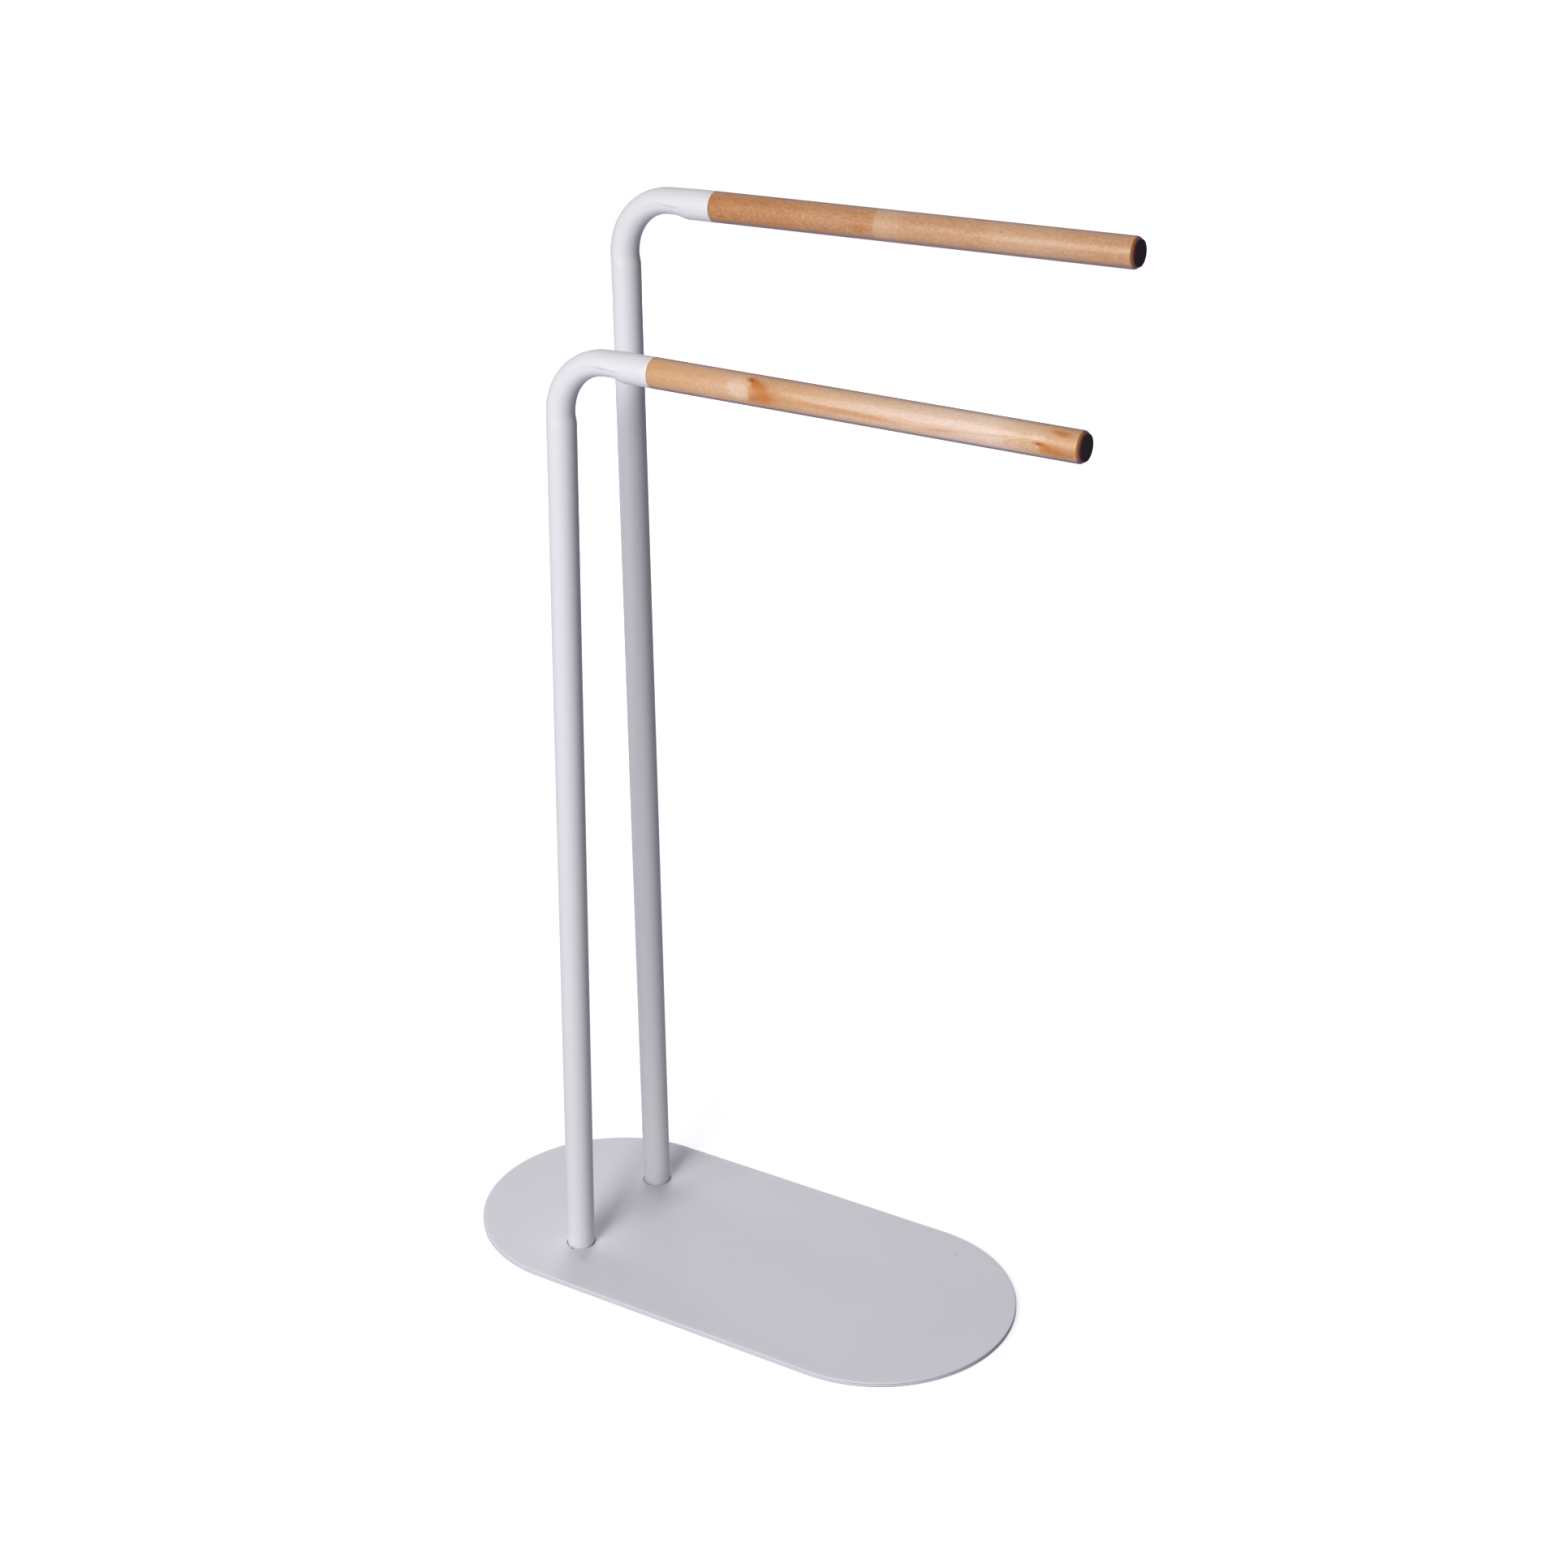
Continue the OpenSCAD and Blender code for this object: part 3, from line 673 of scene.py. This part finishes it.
def woodGroup(given):
    # Turned birch along X. Tone picks the colour between dark and pale; clouds, flecks and thin
    # ring lines vary it. The rings are circles about a far pith line, shifted by the knots.
    vector = given["Vector"]
    layers = {label: noise(stretch(vector, (1 / length, 1, 1)), *settings)
              for label, (length, *settings) in wood["noises"].items()}
    radius = vectorNode("LENGTH", stretch(vector, (0, 1, 1)))
    bent = plus(radius, times(layers["ring"], wood["ringWander"]))
    bent = plus(bent, given["Ring Shift"])
    phase = mathNode("FRACT", mathNode("DIVIDE", bent, wood["ringSpacing"]))
    line = band(phase, *wood["ringLine"])
    tone = plus(given["Tone"], centred(layers["cloud"], given["Cloud"]))
    tone = plus(tone, centred(layers["streak"], wood["streakTone"]))
    tone = plus(tone, centred(layers["fleck"], given["Fleck"]))
    tone = minus(tone, times(line, given["Ring Strength"]))
    lower = times(tone, 2.0)
    color = mixColor(lower, given["Dark"], given["Middle"])
    color = mixColor(minus(lower, 1.0), color, given["Pale"])
    pores = ramp(layers["pore"], *wood["poreRange"], 0.0, wood["poreShare"])
    color = mixColor(pores, color, wood["poreColor"])
    points = plus(centred(layers["point"], wood["pointTone"]), 1.0)
    fleckHeight = times(layers["fleck"], wood["fleckHeight"])
    return {
        "Color": scaled(color, points),
        "Roughness": plus(wood["gloss"], centred(layers["fleck"], wood["glossDrift"])),
        "Height": minus(fleckHeight, times(layers["pore"], wood["poreHeight"]))}


def patchGroup(given):
    # An oval patch of the surface map, turned by Turn: 1 inside, fading out over Soft. Cut is
    # where it starts sharply along the bar. Line is a thin broken ring at the oval's outline.
    away = vectorNode("SUBTRACT", given["Map"], given["Place"])
    angle = times(given["Turn"], -1.0)
    turned = addNode("VectorRotate", {"Vector": away, "Angle": angle}, rotation_type="Z_AXIS")
    reach = vectorNode("LENGTH", vectorNode("DIVIDE", turned.outputs[0], given["Size"]))
    soft = given["Soft"]
    inside = ramp(reach, minus(1.0, soft), plus(1.0, soft), 1.0, 0.0)
    start = ramp(minus(parts(away)["X"], given["Cut"]), *wood["cutSoft"])
    off = mathNode("ABSOLUTE", minus(reach, 1.0))
    broken = ramp(noise(given["Map"], *wood["lineNoise"]), *wood["lineBroken"])
    return {
        "Mask": times(inside, start),
        "Line": times(ramp(off, 0.0, wood["lineWidth"], 1.0, 0.0), broken)}


def driftGroup(given):
    # The surface map with its places shifted by slow noise, more along the bar than across it
    grain = {"Vector": stretch(given["Map"], wood["driftGrain"]),
             "Scale": wood["driftScale"], "Detail": wood["driftDetail"]}
    noiseColor = addNode("TexNoise", grain).outputs["Color"]
    change = vectorNode("SUBTRACT", noiseColor, (0.5, 0.5, 0.5))
    shift = stretch(change, wood["drift"])
    return {"Map": vectorNode("ADD", shift, given["Map"])}


def endsGroup(given):
    # A bar's two ends by the place along it: what the tip adds to the tone, a painted highlight on the
    # sanded edge less a darker chamfer that is partly end grain and partly painted shade, and masks of
    # the dark line at the tube and of the painted shadow on the tip's chamfer
    past = minus(given["Along"], bar["length"] - bar["tipLength"])
    lit = times(band(past, *wood["paintedHighlightEdge"]), wood["paintedHighlightTone"])
    ended = times(ramp(past, *wood["endGrainShade"]), wood["endGrainShadeTone"])
    left = times(*[ramp(past, start, end, 1.0, share) for start, end, share in wood["tipShadowSteps"]])
    return {
        "Tone": minus(lit, ended),
        "Root": ramp(given["Along"], *wood["root"], 1.0, 0.0),
        "Tip": minus(1.0, left)}


def paintedShadeGroup(given):
    # Painted shade on the top and underside by the place round the bar, each with its own share
    top, under = [band(given["Around"], *map(mapAround, wood["grey" + side]), given[side])
                  for side in ("Top", "Under")]
    return {"Mask": mathNode("MAXIMUM", top, under)}


woodGrain = newGroup("woodGrain", ["Vector", "Tone", "Cloud", "Fleck", "Ring Strength",
                                   "Ring Shift", "Dark", "Middle", "Pale"], woodGroup)
woodPatch = newGroup("woodPatch", ["Map", "Place", "Size", "Turn", "Soft", "Cut"], patchGroup)
driftedMap = newGroup("driftedMap", ["Map"], driftGroup)
barEnds = newGroup("barEnds", ["Along"], endsGroup)
greyedBands = newGroup("greyedBands", ["Around", "Top", "Under"], paintedShadeGroup)


def toneAlong(along, stops):
    # Tone by place along the bar, as a ramp of greys over the bar's length
    share = mathNode("DIVIDE", along, bar["length"])
    node = addNode("ValToRGB", {0: share})
    elements = node.color_ramp.elements
    while len(elements) < len(stops):
        elements.new(0.5)
    for element, (place, tone) in zip(elements, stops):
        element.position = place / bar["length"]
        element.color = (tone, tone, tone, 1)
    return node.outputs["Color"]


def addPatch(surface, row, soft, cut=-1.0):
    # A row gives metres from the tube, degrees round from the top, two half sizes and a turn
    along, degrees, half, width, turn = row
    return useGroup(woodPatch, {
        "Map": surface, "Place": (along, mapAround(degrees), 0.0), "Size": (half, width, 1.0),
        "Turn": radians(turn), "Soft": soft, "Cut": cut})


def barMaterial(name, data):
    material, shader, place = newMaterial(name)
    surface = addNode("UVMap", {}, shader.id_data, uv_map="surfaceMap").outputs["UV"]
    split = parts(surface)
    drifted = useGroup(driftedMap, {"Map": surface})["Map"]
    ends = useGroup(barEnds, {"Along": split["X"]})
    tone = plus(toneAlong(split["X"], data["tones"]), ends["Tone"])
    for row in data["patches"]:
        *row, soft, added, lineTone, cut = *row, *wood["noLineOrCut"][len(row) - 7:]
        patch = addPatch(drifted, row, soft, cut)
        tone = plus(tone, times(patch["Mask"], added))
        if lineTone:
            tone = minus(tone, times(patch["Line"], lineTone))
    shift = 0.0
    for along, degrees, half, width, turn in data["knots"]:
        swirlSize = half * wood["swirl"][0], width * wood["swirl"][1]
        swirl = addPatch(drifted, (along, degrees, *swirlSize, 0), wood["swirlSoft"])
        shift = plus(times(swirl["Mask"], wood["swirlShift"]), shift)
    dark, middle, pale = data["colors"]
    layer = useGroup(woodGrain, {
        "Vector": armSpace(place, data["upright"], data["pith"]), "Tone": tone,
        "Cloud": data["cloud"], "Fleck": data["fleck"], "Ring Strength": data["ringStrength"],
        "Ring Shift": shift, "Dark": dark, "Middle": middle, "Pale": pale})
    color = layer["Color"]
    for row in data["streaks"]:
        streak = addPatch(surface, row, wood["streakSoft"])
        share = times(streak["Mask"], wood["streakShare"])
        color = mixColor(share, color, wood["streakColor"])
    for row in data["knots"]:
        core = addPatch(surface, row, wood["knotSoft"])
        color = mixColor(core["Mask"], color, wood["knotColor"])
    # painted shade with a lilac tint on the bar's top and underside
    topShare, underShare = data["greyShares"]
    topAndUnderShade = useGroup(greyedBands, {"Around": split["Y"], "Top": topShare, "Under": underShare})
    color = mixColor(topAndUnderShade["Mask"], color, wood["greyColor"])
    color = mixColor(ends["Root"], color, wood["rootColor"])
    # painted shadow on the tip's chamfer, deepening towards the cap
    color = mixColor(ends["Tip"], color, wood["tipShadowColor"])
    setInputs(shader, {
        "Base Color": color, "Roughness": layer["Roughness"], **woodShader,
        "Normal": bumpNormal(layer["Height"], wood["grainDepth"])})
    return material


# grain is the scale of the fine noise, and cloud the change of shade
finishes = {
    "capPlastic": {"color": (0.045, 0.016, 0.036), "roughness": 0.45, "metallic": 0.0,
                   "specular": 0.05, "grain": 1400.0, "depth": 0.00001, "cloud": 0.2},
    "padFoam": {"color": (0.025, 0.025, 0.032), "roughness": 0.85, "metallic": 0.0, "specular": 0.5,
                "grain": 2200.0, "depth": 0.00006, "cloud": 0.3},
    "zincSteel": {"color": (0.6, 0.61, 0.63), "roughness": 0.32, "metallic": 1.0, "specular": 0.5,
                  "grain": 900.0, "depth": 0.00001, "cloud": 0.15},
}
mottle = {"cloudScale": 0.15, "range": (0.2, 0.8), "glossDrift": 0.06}


def mottleGroup(given):
    # A cloudy shade, and a fine grain in the gloss and the height
    cloud = noise(given["Vector"], times(given["Grain"], mottle["cloudScale"]))
    fine = noise(given["Vector"], given["Grain"])
    shade = plus(centred(cloud, given["Cloud"]), 1.0)
    low = minus(given["Gloss"], mottle["glossDrift"])
    high = plus(given["Gloss"], mottle["glossDrift"])
    return {
        "Color": scaled(given["Color"], shade),
        "Roughness": ramp(fine, *mottle["range"], low, high), "Height": fine}


mottledFinish = newGroup("mottledFinish", ["Vector", "Color", "Gloss", "Grain", "Cloud"], mottleGroup)


def plainMaterial(name, data):
    material, shader, place = newMaterial(name)
    layer = useGroup(mottledFinish, {
        "Vector": place, "Color": data["color"], "Gloss": data["roughness"],
        "Grain": data["grain"], "Cloud": data["cloud"]})
    setInputs(shader, {
        "Base Color": layer["Color"], "Roughness": layer["Roughness"],
        "Metallic": data["metallic"], "Specular IOR Level": data["specular"],
        "Normal": bumpNormal(layer["Height"], data["depth"])})
    return material


paints = {node: coatMaterial(node, coat) for node, coat in coats.items()}
barWoods = {name: barMaterial(name + "Wood", data) for name, data in bars.items()}
plain = {name: plainMaterial(name, data) for name, data in finishes.items()}
print("materials made")


# Uprights

def sectionAt(angle, form, radius):
    # Point of the section: angle 0 is the bend's outer side and pi its inner side. The form gives
    # how far the outer side, the inner side and the sides come in, and where the die's edge lies.
    across = np.cos(angle)
    outer, flat, side, middle, half = form
    inner = smoothStep((middle + half - across) / (2 * half))
    height = (radius - np.where(across > 0, outer, flat)) * across
    width = (radius - side * inner) * np.sin(angle)
    return height, width


def pressForm(legPast, run, crease):
    # The die's work by place: legPast is the length past the leg's top, run that past the arc's
    # end. Each depth grows along the arc, is held, and eases out along the arm.
    grown = smoothStep(legPast / (bend["radius"] * bend["turn"]))
    begun = smoothStep(1 + legPast / bend["runLeg"])
    bite = begun * (1 - smoothStep((run - bend["holdArm"]) / bend["letGo"]))
    flat = bite * (bend["flatLeg"] + (bend["flatArm"] - bend["flatLeg"]) * grown)
    outer = bend["outerIn"] * grown * (1 - np.clip(run / bend["runArm"], 0, 1))
    rise = smoothStep((run - bend["creaseFrom"]) / (bend["creaseDeep"] - bend["creaseFrom"]))
    fall = 1 - smoothStep((run - bend["creaseDeep"]) / (bend["creaseTo"] - bend["creaseDeep"]))
    depth = rise * fall
    side = bend["sideIn"] * bite + crease * depth
    middle = bend["edgeStart"] + (bend["edgeEnd"] - bend["edgeStart"]) * rise
    half = bend["edgeHalf"] + (bend["creaseHalf"] - bend["edgeHalf"]) * depth
    return [value[:, None] for value in (outer, flat, side, middle, half)]


def uprightRings(rows, inset, legTop, arc, crease):
    # Rings along one wall of the tube: up the leg, round the bend and out along the arm. rows
    # are lengths along the axis from the foot. inset is the wall's depth below the outside.
    radius = bend["radius"]
    swing = np.clip(rows - legTop, 0, arc) / radius
    run = rows - legTop - arc
    arm = np.maximum(run, 0)
    x = radius * (1 - np.cos(swing)) + arm * np.sin(swing)
    z = np.minimum(rows, legTop) + radius * np.sin(swing) + arm * np.cos(swing)
    angle = np.arange(tube["around"]) * 2 * pi / tube["around"]
    form = pressForm(rows - legTop, run, crease)
    height, width = sectionAt(angle[None, :], form, tube["radius"] - inset[:, None])
    x, z, swing = x[:, None], z[:, None], swing[:, None]
    return np.stack([x - height * np.cos(swing), width, z + height * np.sin(swing)], -1)


def uprightMesh(name):
    # One loop of rings: the outside, the lip at the arm's end, the bore and the lip at the foot.
    # The rings are close together where the section changes and far apart on the straight leg.
    data = uprights[name]
    tangent = bend["radius"] * tan(bend["turn"] / 2)
    legTop = data["axisHeight"] + seatDepth - tangent
    arc = bend["radius"] * bend["turn"]
    length = legTop + arc + data["reach"] - tangent
    pressStart, pressEnd = legTop - bend["runLeg"], legTop + arc + bend["runArm"]
    lip, endRow = tube["lip"], tube["endRow"]
    rows = np.concatenate([
        np.linspace(lip, pressStart, tube["legRows"])[:-1],
        np.arange(pressStart, pressEnd, tube["rowSpacing"]),
        np.linspace(pressEnd, length - lip, tube["armRows"])])
    quarter = np.linspace(0, pi / 2, tube["lipSteps"] + 1)[1:]
    lipRow, lipInset = lip * np.sin(quarter), lip * (1 - np.cos(quarter))
    bore = np.concatenate([[length, length - endRow], rows[::-1], [endRow, 0.0]])
    allRows = np.concatenate([rows, length - lip + lipRow, bore, lip - lipRow[::-1]])
    inset = np.concatenate([0 * rows, lipInset, 0 * bore + tube["wall"], lipInset[::-1]])
    rings = uprightRings(allRows, inset, legTop, arc, data["crease"])
    return finishMesh(ringMesh(name + "Tube", placed(rings, footPlace(name)), loopRings=True), 50)


for nodeName in uprights:
    addPiece(uprightMesh(nodeName), paints[nodeName], "powder_coat", nodeName)
print("uprights bent")


# Bars and caps

cap = {"radius": 0.0092, "thickness": 0.0006, "edge": 0.0003, "spigot": 0.006, "depth": 0.009,
       "lead": 0.0006, "rim": 0.0009, "dish": 0.0002, "around": 96}
poleShare = 0.5  # a flat face's last ring before its pole, as a share of its radius


def barMesh(name, upright):
    # A turned profile: bore for the stud, root face, long side, tip chamfer, bore for the cap
    radius, length = tube["radius"], bar["length"]
    studRadius, studDepth = bar["studHole"]
    spigotRadius, spigotDepth = bar["spigotHole"]
    sideHeights = np.linspace(bar["rootChamfer"], length - bar["tipLength"], bar["sideRings"])
    outside = softCorners(
        [(studRadius, 0), (radius - bar["rootChamfer"], 0), *[(radius, z) for z in sideHeights],
         (radius - bar["tipHeight"], length), (spigotRadius, length)], bar["edge"])
    outline = np.vstack([[(studRadius, studDepth)], outside, [(spigotRadius, length - spigotDepth)]])
    return turnedMesh(name + "Wood", outline, armEnd(upright), bar["around"], 60, seam=bar["seam"],
                      width=2 * pi * radius)


def capMesh(name, upright):
    # A turned cap: spigot in the bar, and a head with a thin rim round its face
    radius, spigot, depth = cap["radius"], cap["spigot"], cap["depth"]
    thickness, rim, dish, lead = cap["thickness"], cap["rim"], cap["dish"], cap["lead"]
    outline = softCorners([
        (spigot - lead, -depth), (spigot, lead - depth), (spigot, 0), (radius, 0), (radius, thickness),
        (radius - rim, thickness), (radius - rim - dish, thickness - dish),
        (radius * poleShare, thickness - dish)], cap["edge"])
    place = armEnd(upright) @ Matrix.Translation((0, 0, bar["length"]))
    return turnedMesh(name + "Disc", outline, place, cap["around"], 40)


for nodeName, barData in bars.items():
    addPiece(barMesh(nodeName, barData["upright"]), barWoods[nodeName], "wood", nodeName)
    capName = nodeName.replace("bar", "end_cap")
    addPiece(capMesh(capName, barData["upright"]), plain["capPlastic"], "black_plastic", capName)
print("bars and caps turned")


# Base plate

plate = {
    "edge": 0.0009,  # radius of the softened top and bottom edges
    "edgeSteps": 7,
    "endSteps": 97,  # points on each round end
    "sideSteps": 7,  # points on each straight side
    "topShares": (0.0, 0.25, 0.5, 0.75, 0.97),  # the flat faces' rings, out from the middle line
    "seatGap": 0.0006, "screwHole": 0.0034, "headHole": 0.006, "headRecess": 0.0002,
    "seatEdge": 0.00012,  # powder coat softens the rim of each seat
    "over": 0.001,  # how far a cutter stands out of the plate
}


def plateMesh():
    # A stadium's rings, from the middle line of the top over the rounded edge to that of the
    # underside
    low, high = [np.array(corner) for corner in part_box("base_plate")]
    middle = (low + high) / 2
    endRadius = (high[1] - low[1]) / 2
    half = (high[0] - low[0]) / 2 - endRadius
    edge = plate["edge"]
    turn = np.linspace(-pi / 2, pi / 2, plate["endSteps"])
    straight = np.linspace(-1, 1, plate["sideSteps"] + 2)[1:-1] * half
    roundEnd = np.stack([np.cos(turn), np.sin(turn)], -1)
    side = np.stack([0 * straight, 1 + 0 * straight], -1)
    unit = np.concatenate([roundEnd, side, -roundEnd, -side])
    centre = np.concatenate([0 * turn + half, -straight, 0 * turn - half, straight])
    quarter = np.linspace(0, pi / 2, plate["edgeSteps"])
    outward, upward = edge * np.sin(quarter), edge * np.cos(quarter)
    inner = np.array(plate["topShares"]) * (endRadius - edge)
    outline = np.vstack([
        np.stack([inner, 0 * inner + high[2]], -1),
        np.stack([endRadius - edge + outward, high[2] - edge + upward], -1),
        np.stack([endRadius - edge + upward, low[2] + edge - outward], -1),
        np.stack([inner[::-1], 0 * inner + low[2]], -1)])
    out, height = outline[:, :1], outline[:, 1:] + 0 * centre
    rings = np.stack([middle[0] + centre + out * unit[:, 0], middle[1] + out * unit[:, 1], height], -1)
    return finishMesh(ringMesh("plateBlank", rings), 40)


def seatCutters(node):
    # What one foot needs in the plate: its round seat with a nick, and the screw's hole
    low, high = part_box("base_plate")
    foot = footPlace(node).translation
    seatRadius = tube["radius"] + plate["seatGap"]
    nickRadius = tube["footTab"] + plate["seatGap"]
    hole, head, over = plate["screwHole"], plate["headHole"], plate["over"]
    seatFloor, recess = high[2] - seatDepth, low[2] + plate["headRecess"]
    seat = Matrix.Translation((foot.x, foot.y, 0))
    nick = Matrix.Translation((foot.x, foot.y - tube["radius"], 0))
    hollows = {
        "Seat": ([(seatRadius, seatFloor), (seatRadius, high[2] + over)], seat, 96),
        "Nick": ([(nickRadius, seatFloor), (nickRadius, high[2] + over)], nick, 32),
        "Hole": ([(head, low[2] - over), (head, recess), (hole, recess + head - hole),
                  (hole, seatFloor + over / 2)], seat, 96),
    }
    return [addObject(node + label, turnedMesh(node + label, *hollow, 35))
            for label, hollow in hollows.items()]


def cutPlate():
    # The blank less every foot's seat, nick and screw hole, with the cut rims softened
    blank = addObject("plateBlank", plateMesh())
    cutters = [cutter for node in uprights for cutter in seatCutters(node)]
    for cutter in cutters:
        cut = blank.modifiers.new("cut", "BOOLEAN")
        cut.operation, cut.solver, cut.object = "DIFFERENCE", "EXACT", cutter
    rim = blank.modifiers.new("rim", "BEVEL")
    rim.width, rim.segments, rim.limit_method = plate["seatEdge"], 2, "ANGLE"
    rim.angle_limit = radians(60)
    evaluated = blank.evaluated_get(bpy.context.evaluated_depsgraph_get())
    mesh = bpy.data.meshes.new_from_object(evaluated)
    mesh.name = "plateSteel"
    for thing in [blank, *cutters]:
        bpy.data.objects.remove(thing)
    return finishMesh(mesh, 30)


addPiece(cutPlate(), paints["base_plate"], "powder_coat", "base_plate")
print("plate cut")


# Pads and screws

pad = {"ringInner": 0.5, "ringWidth": 0.001, "ringDepth": 0.0003, "edge": 0.0002, "around": 72}
screw = {"socket": 0.0023, "socketRim": 0.002576, "socketDepth": 0.0016, "edge": 0.00015,
         "shank": 0.003, "head": 0.0056, "length": 0.016, "pitch": 0.001, "threadDepth": 0.0003,
         "lead": 0.0006, "around": 96}


def padMesh(node):
    # A turned disc with a shallow ring pressed into its underside
    low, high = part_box(node)
    radius, thickness = (high[0] - low[0]) / 2, high[2] - low[2]
    ring, depth = radius * pad["ringInner"], pad["ringDepth"]
    outer = ring + pad["ringWidth"]
    outline = softCorners([
        (ring * poleShare, 0), (ring, 0), (ring, depth), (outer, depth), (outer, 0), (radius, 0),
        (radius, thickness), (radius * poleShare, thickness)], pad["edge"], 3)
    place = Matrix.Translation(((low[0] + high[0]) / 2, (low[1] + high[1]) / 2, low[2]))
    return turnedMesh(node + "Foam", outline, place, pad["around"], 40)


def screwMesh(node):
    # A countersunk screw from its socket's floor over the head and the ridged shank to its tip.
    # The socket's rings are hexagons: the radius over the cosine of the angle from a flat's middle.
    socket, head, shank, edge = screw["socket"], screw["head"], screw["shank"], screw["edge"]
    around, length, pitch = screw["around"], screw["length"], screw["pitch"]
    crest = np.arange(head - shank + pitch, length - screw["lead"], pitch / 2)
    ridge = shank - screw["threadDepth"] * (np.arange(len(crest)) % 2)
    outside = softCorners(
        [(screw["socketRim"], 0), (head, 0), (head - edge, 2 * edge), (shank, head - shank)], edge)
    outline = np.vstack([[(socket, screw["socketDepth"]), (socket, edge)], outside,
                         np.stack([ridge, crest], -1), [(shank - screw["lead"], length)]])
    fromFlat = (np.arange(around) * 2 * pi / around) % (pi / 3) - pi / 6
    shape = np.ones((len(outline), around))
    shape[:2] = cos(pi / 6) / np.cos(fromFlat)
    place = footPlace(node.replace("base_screw", "upright"))
    place = place @ Matrix.Translation((0, 0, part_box(node)[0][2] - place.translation.z))
    return turnedMesh(node + "Steel", outline, place, around, 25, shape=shape)


for nodeName in sorted(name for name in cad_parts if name.startswith("pad_")):
    addPiece(padMesh(nodeName), plain["padFoam"], "pad_foam", nodeName)

for nodeName in ("tall_base_screw", "short_base_screw"):
    addPiece(screwMesh(nodeName), plain["zincSteel"], "zinc_steel", nodeName)

for nodeName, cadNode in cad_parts.items():
    if nodeName.endswith(("_plug", "_insert", "_stud")):
        cadNode.data.materials.clear()
        cadNode.data.materials.append(plain["zincSteel"])
print("pads set, steel fastenings finished")
